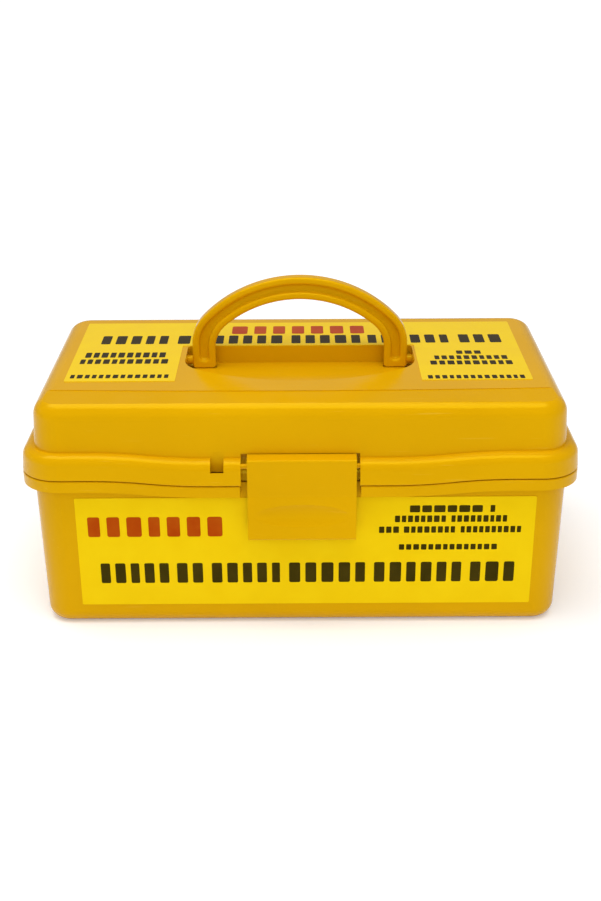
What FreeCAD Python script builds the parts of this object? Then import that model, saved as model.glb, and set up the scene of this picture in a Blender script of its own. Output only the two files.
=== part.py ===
import FreeCAD, Part
import math
import os
from types import SimpleNamespace

import Sketcher

# Rigid carrying case for specimen cups: a moulded tub and lid on two hinge pins, a bail handle
# that folds into a well in the lid, a front latch, and two lift-out racks that hold the cups.
# Millimetres. The origin is the middle of the flat underside, +Z is up and the front is towards -Y.

doc = FreeCAD.newDocument("SpecimenCase")
sheet = doc.addObject("Spreadsheet::Sheet", "Sizes")

sizeTable = [
    # the moulded case, over its flange
    ("caseWidth", 312.2),
    ("caseDepth", 172.2),
    ("caseHeight", 136.9),
    ("wall", 2.2),
    ("flangeCornerRadius", 22.6),
    ("partingHeight", 94.7),
    ("partingGap", 0.6),
    ("frontDip", 3.4),
    ("dipStart", 117.0),
    ("dipEnd", 51.0),
    # lid
    ("flangeHeight", 14.5),
    ("flangeDraft", 1.1),
    ("flangeLipRadius", 0.5),
    ("lidWallInset", 7.35),
    ("lidCornerRadius", 15.3),
    ("lidDraft", 1.5),
    ("lidEdgeRadius", 9.7),
    ("shoulderRadius", 5.6),
    ("ledgeDepth", 0.35),
    ("ledgeFall", 1.4),
    ("ledgeSetback", 29.1),
    ("ledgeBow", 3.5),
    # tub
    ("tubWallInset", 6.3),
    ("tubCornerRadius", 15.9),
    ("tubDraft", 1.9),
    ("tubEdgeRadius", 8.0),
    ("rimHeight", 6.4),
    ("rimEdgeRadius", 0.8),
    ("tongueHeight", 4.0),
    # rear hinges
    ("hingeInset", 66.1),
    ("hingeOffset", 4.5),
    ("knuckleRadius", 4.0),
    ("lidKnuckleLength", 20.0),
    ("tubKnuckleLength", 9.7),
    ("knuckleGap", 0.3),
    ("hingePinRadius", 1.5),
    ("pinClearance", 0.05),
    # handle
    ("handleHalfWidth", 64.4),
    ("handleReach", 51.8),
    ("handleCornerRadius", 24.0),
    ("handleTopRadius", 80.5),
    ("handleLegWidth", 13.8),
    ("gripDepth", 13.4),
    ("gripCornerRadius", 18.8),
    ("gripTopRadius", 68.6),
    ("handleThickness", 8.0),
    ("footRadius", 5.4),
    ("footBow", 10.0),
    ("handleEdgeRadius", 1.5),
    ("beadWidth", 4.3),
    ("grooveDepth", 3.1),
    ("grooveFloorRadius", 1.5),
    ("grooveCornerRadius", 2.3),
    ("grooveFootGap", 0.5),
    ("trunnionRadius", 2.6),
    ("trunnionEngagement", 2.7),
    ("trunnionClearance", 0.1),
    # well in the lid for the folded handle
    ("wellSideGap", 3.3),
    ("wellFrontGap", 1.0),
    ("wellBackGap", 2.2),
    ("wellDepth", 10.4),
    ("wellCornerRadius", 20.0),
    ("wellTopRadius", 104.0),
    ("wellBackRadius", 2.5),
    ("footClearance", 0.3),
    ("handleSetback", 11.3),
    ("socketWall", 2.0),
    # front latch and its bay
    ("latchWidth", 60.1),
    ("latchTopInset", 1.2),
    ("latchLength", 48.2),
    ("latchUpperLength", 22.6),
    ("latchFront", 0.9),
    ("latchFlare", 2.3),
    ("latchThickness", 2.4),
    ("latchTopDrop", 0.6),
    ("latchEdgeRadius", 1.1),
    ("latchSideGap", 2.75),
    ("latchShift", 0.8),
    ("latchSweepClearance", 0.3),
    ("latchRibThickness", 2.4),
    ("latchInnerRib", 11.4),
    ("latchReturnDepth", 2.4),
    ("latchPivotInset", 3.5),
    ("latchPivotDrop", 5.7),
    ("latchKnuckleRadius", 3.3),
    ("latchPinRadius", 1.5),
    ("earThickness", 3.0),
    ("dimpleHalfWidth", 26.5),
    ("dimpleHalfHeight", 6.8),
    ("dimpleDepth", 1.3),
    ("dimpleRise", 14.4),
    ("catchHalfWidth", 22.0),
    ("catchReach", 3.1),
    ("catchDrop", 9.6),
    ("catchClearance", 0.3),
    ("beadRadius", 1.9),
    # seal window beside the latch
    ("windowCentre", 45.8),
    ("windowWidth", 7.3),
    ("windowSillRise", 4.7),
    ("windowLip", 1.2),
    ("sealSlotDepth", 3.2),
    ("sealSlotClearance", 0.05),
    # stickers
    ("stickerThickness", 0.3),
    ("stickerCornerRadius", 1.0),
    ("frontStickerSideMargin", 20.8),
    ("frontStickerTopMargin", 2.9),
    ("frontStickerBottom", 13.2),
    ("frontStickerShift", 2.7),
    ("topStickerSideMargin", 4.55),
    ("topStickerLedgeGap", 15.0),
    ("topStickerRearMargin", 6.05),
    ("topStickerLegInset", 2.3),
    ("topStickerShift", -0.9),
    ("topStickerWellGap", 0.6),
    # absorbent sheet on the floor
    ("padThickness", 2.0),
    ("padMargin", 1.0),
    # racks
    ("rackClearance", 2.9),
    ("rackCornerRadius", 8.0),
    ("rackGap", 6.0),
    ("rackBaseThickness", 4.0),
    ("rackDeckThickness", 5.0),
    ("rackPostLength", 30.0),
    ("rackPostRadius", 4.0),
    ("rackPostInset", 7.5),
    ("cupSeatDepth", 1.5),
    ("largeSeatRadius", 29.5),
    ("largeFootRadius", 27.0),
    ("largePitch", 68.0),
    ("smallSeatRadius", 20.0),
    ("smallFootRadius", 18.0),
    ("smallPitchAcross", 44.0),
    ("smallPitchAlong", 66.0),
    ("seatWeb", 2.5),
    ("screwRadius", 1.5),
    ("screwHoleClearance", 0.2),
    ("screwHeadRadius", 3.5),
    ("screwHeadHeight", 2.2),
    ("screwLength", 14.0),
    ("screwHeadClearance", 0.3),
    ("stemRadius", 4.0),
    ("stemLength", 94.4),
    ("stemShoulder", 1.5),
    ("stemTenon", 4.0),
    ("knobRadius", 12.0),
    ("knobHeight", 12.0),
    ("knobSocket", 8.0),
    ("knobWaist", 3.0),
    ("knobEdgeRadius", 2.4),
]

for rowNumber, (alias, value) in enumerate(sizeTable, start=1):
    sheet.set(f"A{rowNumber}", alias)
    sheet.set(f"B{rowNumber}", str(value))
    sheet.setAlias(f"B{rowNumber}", alias)
doc.recompute()
v = SimpleNamespace(**{alias: float(sheet.get(alias)) for alias, value in sizeTable})

# places that follow from the table
halfWidth = v.caseWidth / 2
halfDepth = v.caseDepth / 2
lidHalfWidth = halfWidth - v.lidWallInset
lidHalfDepth = halfDepth - v.lidWallInset
tubHalfWidth = halfWidth - v.tubWallInset
tubHalfDepth = halfDepth - v.tubWallInset
junctionHeight = v.partingHeight + v.flangeHeight
rimBottom = v.partingHeight - v.rimHeight
lidBottom = v.partingHeight + v.partingGap
lowestParting = v.partingHeight - v.frontDip
farAway = 2 * v.caseWidth
above = v.caseHeight + v.caseDepth
touching = 1e-3
hingeY = halfDepth + v.hingeOffset
hingeZ = v.partingHeight
wellFloor = v.caseHeight - v.wellDepth
handleY = v.handleSetback
handleZ = wellFloor + v.footClearance + v.handleThickness / 2
gripHalfWidth = v.handleHalfWidth - v.handleLegWidth
wellHalfWidth = v.handleHalfWidth + v.wellSideGap
wellFront = v.handleReach + v.wellFrontGap
wellBack = v.handleThickness / 2 + v.wellBackGap
trunnionLength = v.wellSideGap + v.trunnionEngagement
latchTop = junctionHeight - v.latchTopInset
latchBottom = latchTop - v.latchLength
latchStep = latchTop - v.latchUpperLength
dimpleHeight = latchBottom + v.dimpleRise
catchHeight = v.partingHeight - v.catchDrop
windowSill = v.partingHeight + v.windowSillRise
frontStickerHeight = rimBottom - v.frontDip - v.frontStickerTopMargin - v.frontStickerBottom
latchFrontY = -halfDepth - v.latchFront
latchPivotY = -halfDepth + v.latchPivotInset
latchPivotZ = latchTop - v.latchPivotDrop
latchHalfWidth = v.latchWidth / 2
bayHalfWidth = latchHalfWidth + v.latchSideGap
floorHalfWidth = tubHalfWidth - v.tubDraft - v.tubEdgeRadius
floorHalfDepth = tubHalfDepth - v.tubDraft - v.tubEdgeRadius
rackWidth = floorHalfWidth - v.rackGap / 2 - v.rackClearance
rackDepth = 2 * (floorHalfDepth - v.rackClearance)


# Sub-parts that are moulded shells


def roundedRectangle(halfX, halfY, radius, z):
    # closed wire of four straight sides and four quarter arcs
    edges = []
    corners = [(1, 1), (-1, 1), (-1, -1), (1, -1)]
    for turn, (sx, sy) in enumerate(corners):
        cx = sx * (halfX - radius)
        cy = sy * (halfY - radius)
        start = math.radians(90 * turn)
        points = []
        for part in (0.0, 0.5, 1.0):
            angle = start + part * math.pi / 2
            points.append(FreeCAD.Vector(cx + radius * math.cos(angle), cy + radius * math.sin(angle), z))
        edges.append(Part.Arc(*points).toShape())
    wireEdges = []
    for index, arc in enumerate(edges):
        wireEdges.append(arc)
        following = edges[(index + 1) % 4]
        wireEdges.append(Part.makeLine(arc.Vertexes[-1].Point, following.Vertexes[0].Point))
    return Part.Wire(wireEdges)


def prism(halfX, halfY, radius, low, high):
    face = Part.Face(roundedRectangle(halfX, halfY, radius, low))
    return face.extrude(FreeCAD.Vector(0, 0, high - low))


def draftedBlock(halfX, halfY, radius, low, high, inset):
    # the top is smaller than the bottom by inset on every side; a negative inset widens it
    lower = roundedRectangle(halfX, halfY, radius, low)
    upper = roundedRectangle(halfX - inset, halfY - inset, radius - inset, high)
    return Part.makeLoft([lower, upper], True, True)


def box(x0, x1, y0, y1, z0, z1):
    return Part.makeBox(x1 - x0, y1 - y0, z1 - z0, FreeCAD.Vector(x0, y0, z0))


def barAlongX(radius, x0, x1, y, z):
    return Part.makeCylinder(radius, x1 - x0, FreeCAD.Vector(x0, y, z), FreeCAD.Vector(1, 0, 0))


def extrudeProfile(points, x0, x1):
    # a closed outline of (y, z) points, extruded along X
    corners = [FreeCAD.Vector(x0, y, z) for y, z in points]
    face = Part.Face(Part.makePolygon(corners + corners[:1]))
    return face.extrude(FreeCAD.Vector(x1 - x0, 0, 0))


def dipCurve(level):
    # the front's line: straight, down in an S of two equal arcs, straight, and up again
    run = (v.dipStart - v.dipEnd) / 2
    drop = v.frontDip / 2
    radius = (run * run + drop * drop) / (2 * drop)
    halfTurn = math.asin(run / radius) / 2
    bulge = radius * math.sin(halfTurn)
    rise = radius * (1 - math.cos(halfTurn))
    points = [
        (-farAway, level),
        (-v.dipStart, level),
        (-v.dipStart + bulge, level - rise),
        (-v.dipStart + run, level - drop),
        (-v.dipEnd - bulge, level - v.frontDip + rise),
        (-v.dipEnd, level - v.frontDip),
    ]
    points = points + [(-x, z) for x, z in reversed(points)]
    at = [FreeCAD.Vector(x, -farAway, z) for x, z in points]
    return [
        Part.makeLine(at[0], at[1]),
        Part.Arc(at[1], at[2], at[3]).toShape(),
        Part.Arc(at[3], at[4], at[5]).toShape(),
        Part.makeLine(at[5], at[6]),
        Part.Arc(at[6], at[7], at[8]).toShape(),
        Part.Arc(at[8], at[9], at[10]).toShape(),
        Part.makeLine(at[10], at[11]),
    ]


def underLevel(level):
    # everything below a level that dips towards the middle at the front and is flat at the rear
    curve = dipCurve(level)
    left = curve[0].Vertexes[0].Point
    right = curve[-1].Vertexes[-1].Point
    lowRight = FreeCAD.Vector(right.x, right.y, -farAway)
    lowLeft = FreeCAD.Vector(left.x, left.y, -farAway)
    sides = [Part.makeLine(right, lowRight), Part.makeLine(lowRight, lowLeft), Part.makeLine(lowLeft, left)]
    front = Part.Face(Part.Wire(curve + sides)).extrude(FreeCAD.Vector(0, farAway, 0))
    rear = box(-farAway, farAway, 0, farAway, -farAway, level)
    return front.fuse(rear).removeSplitter()


def roundRim(block, inset, cornerRadius, level, filletRadius):
    # rounds the edge that runs along a block's outline at a level and its dip
    outline = roundedRectangle(halfWidth - inset, halfDepth - inset, cornerRadius, 0)
    rim = []
    for edge in block.Edges:
        middle = edge.valueAt((edge.FirstParameter + edge.LastParameter) / 2)
        foot = Part.Vertex(middle.x, middle.y, 0)
        onWall = outline.distToShape(foot)[0] < v.flangeDraft / 2
        at = edge.BoundBox
        if onWall and at.ZMin > level - v.frontDip - touching and at.ZMax < level + touching:
            rim.append(edge)
    return block.makeFillet(filletRadius, rim)


def flangeSolid(inset, low, topLevel, cornerRadius, filletRadius):
    # a block over the flange's outline, widest at the parting line, its upper outer edge rounded
    slope = v.flangeDraft / v.flangeHeight
    grown = slope * (lidBottom - low)
    top = junctionHeight + v.wall
    block = draftedBlock(
        halfWidth - inset + grown,
        halfDepth - inset + grown,
        cornerRadius + grown,
        low,
        top,
        slope * (top - low),
    )
    block = block.common(underLevel(topLevel)).removeSplitter()
    drawnIn = slope * (topLevel - lidBottom)
    return roundRim(block, inset + drawnIn, cornerRadius - drawnIn, topLevel, filletRadius)


def topEdges(shape):
    return [edge for edge in shape.Edges if abs(edge.BoundBox.ZMin - shape.BoundBox.ZMax) < touching]


def bottomEdges(shape):
    return [edge for edge in shape.Edges if abs(edge.BoundBox.ZMax - shape.BoundBox.ZMin) < touching]


def archOutline(halfX, reach, cornerRadius, topRadius, foot):
    # (across, up) outline of an arch: straight legs from foot, corner arcs and one top arc, all tangent
    cornerX = halfX - cornerRadius
    topCentre = reach - topRadius
    cornerUp = topCentre + math.sqrt((topRadius - cornerRadius) ** 2 - cornerX ** 2)
    joinAngle = math.atan2(cornerUp - topCentre, cornerX)
    midAngle = joinAngle / 2
    join = (topRadius * math.cos(joinAngle), topCentre + topRadius * math.sin(joinAngle))
    middle = (cornerX + cornerRadius * math.cos(midAngle), cornerUp + cornerRadius * math.sin(midAngle))
    shoulder = (halfX, cornerUp)
    mirror = [(-x, up) for x, up in (join, middle, shoulder)]
    return {
        "start": (halfX, foot),
        "right": [shoulder, middle, join],
        "top": [join, (0.0, reach), mirror[0]],
        "left": mirror,
        "end": (-halfX, foot),
    }


def archFace(outline, place):
    # place turns (across, up) into a point
    right = [place(point) for point in outline["right"]]
    top = [place(point) for point in outline["top"]]
    left = [place(point) for point in outline["left"]]
    start = place(outline["start"])
    end = place(outline["end"])
    edges = [
        Part.makeLine(start, right[0]),
        Part.Arc(*right).toShape(),
        Part.Arc(*top).toShape(),
        Part.Arc(*left).toShape(),
        Part.makeLine(left[2], end),
        Part.makeLine(end, start),
    ]
    return Part.Face(Part.Wire(edges))


def wellSolid(grow, floor):
    # D-shaped block: straight back, bowed front; grow moves every side out
    def place(point):
        return FreeCAD.Vector(point[0], handleY - point[1], floor)

    outline = archOutline(
        wellHalfWidth + grow,
        wellFront + grow,
        v.wellCornerRadius + grow,
        v.wellTopRadius + grow,
        -wellBack - grow,
    )
    solid = archFace(outline, place).extrude(FreeCAD.Vector(0, 0, above - floor))
    backY = handleY + wellBack + grow
    backCorners = []
    for edge in solid.Edges:
        spread = edge.BoundBox
        if spread.YMin > backY - touching and spread.ZLength > 1 and spread.XLength < touching:
            backCorners.append(edge)
    return solid.makeFillet(v.wellBackRadius + grow, backCorners)


def footTroughs(grow):
    # the hollows in the well's floor in which the handle's feet turn
    radius = v.footRadius + v.footClearance + grow
    troughs = []
    for side in (-1, 1):
        near = side * (gripHalfWidth - v.footClearance - grow)
        far = side * (wellHalfWidth + grow)
        x0, x1 = sorted((near, far))
        bar = barAlongX(radius, x0, x1, handleY, handleZ)
        troughs.append(bar.common(box(x0, x1, -farAway, farAway, -farAway, wellFloor + v.footClearance)))
    return troughs


def hingeCentres():
    return [v.hingeInset - halfWidth, halfWidth - v.hingeInset]


def knuckle(x0, x1, low, high):
    # a barrel on the hinge line with a web to the case's rear face
    barrel = barAlongX(v.knuckleRadius, x0, x1, hingeY, hingeZ)
    web = box(x0, x1, halfDepth - v.wall / 2, hingeY, low, high)
    return barrel.fuse(web)


def latchBay(halfX, sweep, wallY):
    # the room that the latch and its turning top need in the lid
    front = box(-halfX, halfX, -farAway, wallY, -farAway, junctionHeight + v.shoulderRadius)
    turning = barAlongX(sweep, -halfX, halfX, latchPivotY, latchPivotZ)
    return front.fuse(turning)


def latchSweepRadius():
    topBackY = latchBackY()
    backCorner = math.hypot(topBackY - latchPivotY, latchTop - latchPivotZ)
    frontCorner = math.hypot(latchFrontY - latchPivotY, latchTop - v.latchTopDrop - latchPivotZ)
    return max(backCorner, frontCorner)


def latchBackY():
    return -lidHalfDepth - v.latchSweepClearance


def windowBlock(grow, y0, y1, z0, z1):
    half = v.windowWidth / 2 + grow
    return box(-v.windowCentre - half, -v.windowCentre + half, y0, y1, z0, z1)


def buildLid():
    span = v.caseHeight - junctionHeight
    slope = v.lidDraft / span
    low = lowestParting - v.wall
    grown = slope * (junctionHeight - low)
    body = draftedBlock(
        lidHalfWidth + grown,
        lidHalfDepth + grown,
        v.lidCornerRadius + grown,
        low,
        v.caseHeight,
        v.lidDraft + grown,
    )
    body = body.makeFillet(v.lidEdgeRadius, topEdges(body))
    flange = flangeSolid(0, low, junctionHeight, v.flangeCornerRadius, v.shoulderRadius)
    flange = flange.cut(underLevel(lidBottom))
    flange = roundRim(flange, 0, v.flangeCornerRadius, lidBottom, v.flangeLipRadius)
    ledge = ledgeCut()
    outer = body.cut(ledge).fuse(flange)

    innerBody = draftedBlock(
        lidHalfWidth + grown - v.wall,
        lidHalfDepth + grown - v.wall,
        v.lidCornerRadius + grown - v.wall,
        low,
        v.caseHeight - v.wall,
        v.lidDraft + grown,
    )
    innerBody = innerBody.makeFillet(v.lidEdgeRadius - v.wall, topEdges(innerBody))
    ledge.translate(FreeCAD.Vector(0, 0, -v.wall))
    innerBody = innerBody.cut(ledge)
    innerFlange = flangeSolid(
        v.wall,
        low,
        junctionHeight - v.wall,
        v.flangeCornerRadius - v.wall,
        v.shoulderRadius - v.wall,
    )
    cavity = innerBody.fuse(innerFlange)

    # the cavity keeps a wall round whatever is let into the lid from outside
    sweep = latchSweepRadius() + v.latchSweepClearance
    bayWall = latchBay(bayHalfWidth + v.earThickness, sweep + v.wall, -lidHalfDepth + v.wall)
    socketEnd = v.handleHalfWidth + trunnionLength + v.socketWall
    bosses = []
    for side in (-1, 1):
        x0, x1 = sorted((side * gripHalfWidth, side * socketEnd))
        reach = v.trunnionRadius + v.socketWall
        bosses.append(box(x0, x1, handleY - reach, handleY + reach, wellFloor - v.wall, above))
    pocketWall = windowBlock(v.wall, -farAway, -lidHalfDepth + v.wall, windowSill - v.wall, above)
    keep = wellSolid(v.wall, wellFloor - v.wall)
    for piece in [bayWall, pocketWall] + bosses + footTroughs(v.wall):
        keep = keep.fuse(piece)
    cavity = cavity.cut(keep)

    shell = outer.cut(cavity)
    shell = shell.cut(underLevel(lidBottom))
    shell = shell.cut(wellSolid(0, wellFloor))
    for trough in footTroughs(0):
        shell = shell.cut(trough)
    shell = shell.cut(latchBay(bayHalfWidth, sweep, -lidHalfDepth))
    shell = shell.cut(windowBlock(0, -farAway, -lidHalfDepth, windowSill, above))
    lipY = -halfDepth + v.windowLip
    shell = shell.cut(windowBlock(0, lipY, -lidHalfDepth, lowestParting, windowSill + v.wall))

    holeRadius = v.trunnionRadius + v.trunnionClearance
    socketReach = v.handleHalfWidth + trunnionLength + v.footClearance
    shell = shell.cut(barAlongX(holeRadius, -socketReach, socketReach, handleY, handleZ))
    earReach = bayHalfWidth + v.earThickness
    shell = shell.cut(barAlongX(v.latchPinRadius, -earReach, earReach, latchPivotY, latchPivotZ))

    half = v.lidKnuckleLength / 2
    for centre in hingeCentres():
        shell = shell.fuse(knuckle(centre - half, centre + half, lidBottom, hingeZ + v.knuckleRadius))
        boreRadius = v.hingePinRadius + v.pinClearance
        shell = shell.cut(barAlongX(boreRadius, centre - half, centre + half, hingeY, hingeZ))
    return shell.removeSplitter()


def ledgeCut():
    # the strip in front of the top panel: a small step behind a slightly bowed line, then a gentle fall
    lineY = -halfDepth + v.ledgeSetback
    endY = lineY + v.ledgeBow
    low = v.caseHeight - v.ledgeDepth - v.ledgeFall
    left = FreeCAD.Vector(-halfWidth, endY, low)
    right = FreeCAD.Vector(halfWidth, endY, low)
    nearRight = FreeCAD.Vector(halfWidth, -halfDepth, low)
    nearLeft = FreeCAD.Vector(-halfWidth, -halfDepth, low)
    edges = [
        Part.Arc(left, FreeCAD.Vector(0, lineY, low), right).toShape(),
        Part.makeLine(right, nearRight),
        Part.makeLine(nearRight, nearLeft),
        Part.makeLine(nearLeft, left),
    ]
    block = Part.Face(Part.Wire(edges)).extrude(FreeCAD.Vector(0, 0, above - low))
    fall = [
        (endY, v.caseHeight - v.ledgeDepth),
        (-halfDepth, low),
        (-halfDepth, above),
        (endY, above),
    ]
    return block.common(extrudeProfile(fall, -halfWidth, halfWidth))


def buildTub():
    top = v.partingHeight + v.tongueHeight
    slope = v.tubDraft / rimBottom
    grown = slope * (top - rimBottom)
    # the draft widens the tub upwards, so the block is lofted from its smaller foot
    body = draftedBlock(
        tubHalfWidth - v.tubDraft,
        tubHalfDepth - v.tubDraft,
        v.tubCornerRadius - v.tubDraft,
        0,
        top,
        -v.tubDraft - grown,
    )
    body = body.makeFillet(v.tubEdgeRadius, bottomEdges(body))
    inner = draftedBlock(
        tubHalfWidth - v.tubDraft - v.wall,
        tubHalfDepth - v.tubDraft - v.wall,
        v.tubCornerRadius - v.tubDraft - v.wall,
        v.wall,
        top + v.wall,
        -v.tubDraft - grown,
    )
    inner = inner.makeFillet(v.tubEdgeRadius - v.wall, bottomEdges(inner))

    gapHalf = bayHalfWidth + v.partingGap
    rim = prism(halfWidth, halfDepth, v.flangeCornerRadius, 0, above)
    rim = rim.common(underLevel(v.partingHeight)).cut(underLevel(rimBottom)).removeSplitter()
    rim = roundRim(rim, 0, v.flangeCornerRadius, v.partingHeight, v.rimEdgeRadius)
    hollow = prism(halfWidth - v.wall, halfDepth - v.wall, v.flangeCornerRadius - v.wall, 0, above)
    hollow = hollow.common(underLevel(v.partingHeight - v.wall))
    webs = box(-gapHalf - v.wall, gapHalf + v.wall, -farAway, 0, -farAway, above)
    for centre in hingeCentres():
        half = v.lidKnuckleLength / 2 + v.knuckleGap + v.tubKnuckleLength
        webs = webs.fuse(box(centre - half, centre + half, 0, farAway, -farAway, above))
    rim = rim.cut(hollow.cut(webs))
    rim = rim.cut(box(-gapHalf, gapHalf, -farAway, 0, -farAway, above))

    # the tongue stands inside the lid's flange, and stops short of the latch bay
    tongueGap = bayHalfWidth + v.earThickness + v.wall
    tongueCut = box(-tongueGap, tongueGap, -farAway, 0, -farAway, above).cut(underLevel(v.partingHeight))
    windowGap = windowBlock(v.wall + v.partingGap, -farAway, 0, lowestParting, above)
    tongueCut = tongueCut.fuse(windowGap.cut(underLevel(v.partingHeight)))
    wallBlock = body.common(underLevel(top)).cut(tongueCut)

    shell = wallBlock.fuse(rim)
    for centre in hingeCentres():
        near = v.lidKnuckleLength / 2 + v.knuckleGap
        for side in (-1, 1):
            x0, x1 = sorted((centre + side * near, centre + side * (near + v.tubKnuckleLength)))
            shell = shell.fuse(knuckle(x0, x1, hingeZ - v.knuckleRadius, hingeZ))
            shell = shell.cut(barAlongX(v.hingePinRadius, x0, x1, hingeY, hingeZ))
    shell = shell.fuse(catchRidge())
    slotFront = -lidHalfDepth - v.sealSlotDepth
    slotBack = -lidHalfDepth - v.sealSlotClearance
    shell = shell.cut(windowBlock(0, slotFront, slotBack, rimBottom - v.frontDip, above))
    shell = shell.cut(inner)
    return shell.removeSplitter()


def tubWallY(z):
    # the front wall's outer face at a height, moving out as it rises
    return -(tubHalfDepth - v.tubDraft + v.tubDraft * z / rimBottom)


def catchTipY():
    return -tubHalfDepth - v.catchReach


def catchRidge():
    # the ledge on the tub's wall that the latch's bead rides over
    root = -tubHalfDepth + v.tubDraft
    outline = [
        (root, catchHeight + v.catchReach),
        (catchTipY(), catchHeight),
        (catchTipY(), catchHeight - v.catchReach / 2),
        (root, catchHeight - v.catchReach),
    ]
    return extrudeProfile(outline, -v.catchHalfWidth, v.catchHalfWidth)


def buildHandle():
    half = v.handleThickness / 2

    def place(point):
        return FreeCAD.Vector(point[0], handleY - half, handleZ + point[1])

    outer = archOutline(
        v.handleHalfWidth,
        v.handleReach,
        v.handleCornerRadius,
        v.handleTopRadius,
        -v.footRadius,
    )
    inner = archOutline(
        gripHalfWidth,
        v.handleReach - v.gripDepth,
        v.gripCornerRadius,
        v.gripTopRadius,
        -2 * v.footRadius,
    )
    through = FreeCAD.Vector(0, v.handleThickness, 0)
    bail = archFace(outer, place).extrude(through).cut(archFace(inner, place).extrude(through))

    # the web between the beads is set back on both faces
    webOuter = archOutline(
        v.handleHalfWidth - v.beadWidth,
        v.handleReach - v.beadWidth,
        v.handleCornerRadius - v.beadWidth,
        v.handleTopRadius - v.beadWidth,
        v.grooveFootGap,
    )
    webInner = archOutline(
        gripHalfWidth + v.beadWidth,
        v.handleReach - v.gripDepth + v.beadWidth,
        v.gripCornerRadius + v.beadWidth,
        v.gripTopRadius + v.beadWidth,
        0,
    )
    sink = FreeCAD.Vector(0, v.grooveDepth, 0)
    groove = archFace(webOuter, place).extrude(sink).cut(archFace(webInner, place).extrude(sink))
    ends = []
    for edge in groove.Edges:
        at = edge.BoundBox
        if at.YLength > touching and at.ZMax < handleZ + v.grooveFootGap + touching:
            ends.append(edge)
    groove = groove.makeFillet(v.grooveCornerRadius, ends)
    floorY = handleY - half + v.grooveDepth
    floorEdges = [edge for edge in groove.Edges if edge.BoundBox.YMin > floorY - touching]
    groove = groove.makeFillet(v.grooveFloorRadius, floorEdges)
    bail = bail.cut(groove)
    bail = bail.cut(groove.mirror(FreeCAD.Vector(0, handleY, 0), FreeCAD.Vector(0, 1, 0)))

    # every edge of the two faces is rounded, the beads' inner ones too
    rims = []
    for edge in bail.Edges:
        bounds = edge.BoundBox
        onFace = bounds.YLength < touching and abs(abs(bounds.YMin - handleY) - half) < touching
        if onFace and bounds.ZMax > handleZ + touching:
            rims.append(edge)
    bail = bail.makeFillet(v.handleEdgeRadius, rims)

    # the feet are round about the pivot line, and bowed from side to side
    for side in (-1, 1):
        x0, x1 = sorted((side * gripHalfWidth, side * v.handleHalfWidth))
        foot = box(x0, x1, handleY - half, handleY + half, handleZ - v.footRadius, handleZ)
        disc = barAlongX(v.footRadius, x0, x1, handleY, handleZ)
        centre = FreeCAD.Vector((x0 + x1) / 2, handleY - half, handleZ - v.footRadius + v.footBow)
        bow = Part.makeCylinder(v.footBow, v.handleThickness, centre, FreeCAD.Vector(0, 1, 0))
        bail = bail.cut(foot.cut(disc.common(bow)))

    for side in (-1, 1):
        x0, x1 = sorted((side * (v.handleHalfWidth - half), side * (v.handleHalfWidth + trunnionLength)))
        bail = bail.fuse(barAlongX(v.trunnionRadius, x0, x1, handleY, handleZ))
    return bail.removeSplitter()


def latchPlate():
    # outer face down from the top's front corner, flaring outwards below the step
    t = v.latchThickness
    frontTopZ = latchTop - v.latchTopDrop
    flareY = latchFrontY - v.latchFlare
    outline = [
        (latchBackY(), latchTop),
        (latchFrontY, frontTopZ),
        (latchFrontY, latchStep),
        (flareY, latchBottom),
        (flareY + t, latchBottom),
        (latchFrontY + t, latchStep),
        (latchFrontY + t, frontTopZ - t),
        (latchBackY(), latchTop - t),
    ]
    plate = extrudeProfile(outline, -latchHalfWidth, latchHalfWidth)
    rounded = []
    for edge in plate.Edges:
        at = edge.BoundBox
        alongX = at.XLength > v.latchWidth - touching
        frontCorner = abs(at.YMin - latchFrontY) < touching and abs(at.ZMin - frontTopZ) < touching
        foot = abs(at.ZMin - latchBottom) < touching
        if alongX and frontCorner:
            rounded.append(edge)
        if alongX and foot:
            rounded.append(edge)
    return plate.makeFillet(v.latchEdgeRadius, rounded)


def buildLatch():
    t = v.latchThickness
    innerY = latchFrontY + t
    flareY = latchFrontY - v.latchFlare
    latch = latchPlate()
    # ribs join the plate's top to the knuckle on the pin
    backOfRib = latchPivotY + v.latchKnuckleRadius
    rib = [
        (innerY - t / 2, latchTop - t / 2 - v.latchTopDrop),
        (latchBackY(), latchTop - t / 2),
        (backOfRib, latchPivotZ),
        (latchPivotY, latchPivotZ - v.latchKnuckleRadius),
        (innerY - t / 2, latchPivotZ - 2 * v.latchKnuckleRadius),
    ]
    half = v.latchRibThickness / 2
    endRib = latchHalfWidth - half
    for middle in (-endRib, -v.latchInnerRib, v.latchInnerRib, endRib):
        latch = latch.fuse(extrudeProfile(rib, middle - half, middle + half))
        knuckleBar = barAlongX(v.latchKnuckleRadius, middle - half, middle + half, latchPivotY, latchPivotZ)
        latch = latch.fuse(knuckleBar)
    # shallow returns stiffen the two sides
    returnOutline = [
        (innerY - t / 2, latchPivotZ - v.latchKnuckleRadius),
        (innerY + v.latchReturnDepth, latchPivotZ - 2 * v.latchKnuckleRadius),
        (innerY + v.latchReturnDepth, latchStep),
        (flareY + t + v.latchReturnDepth, latchBottom + v.latchReturnDepth),
        (flareY + t / 2, latchBottom + v.latchReturnDepth / 2),
        (innerY - t / 2, latchStep),
    ]
    for side in (-1, 1):
        x0, x1 = sorted((side * (latchHalfWidth - v.latchRibThickness), side * latchHalfWidth))
        latch = latch.fuse(extrudeProfile(returnOutline, x0, x1))
    latch = latch.fuse(snapBead())
    latch = latch.cut(dimpleTool())
    reach = latchHalfWidth + v.latchSideGap
    latch = latch.cut(barAlongX(v.latchPinRadius + v.pinClearance, -reach, reach, latchPivotY, latchPivotZ))
    # it hangs a little to the right in its bay
    latch.translate(FreeCAD.Vector(v.latchShift, 0, 0))
    return latch.removeSplitter()


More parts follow.
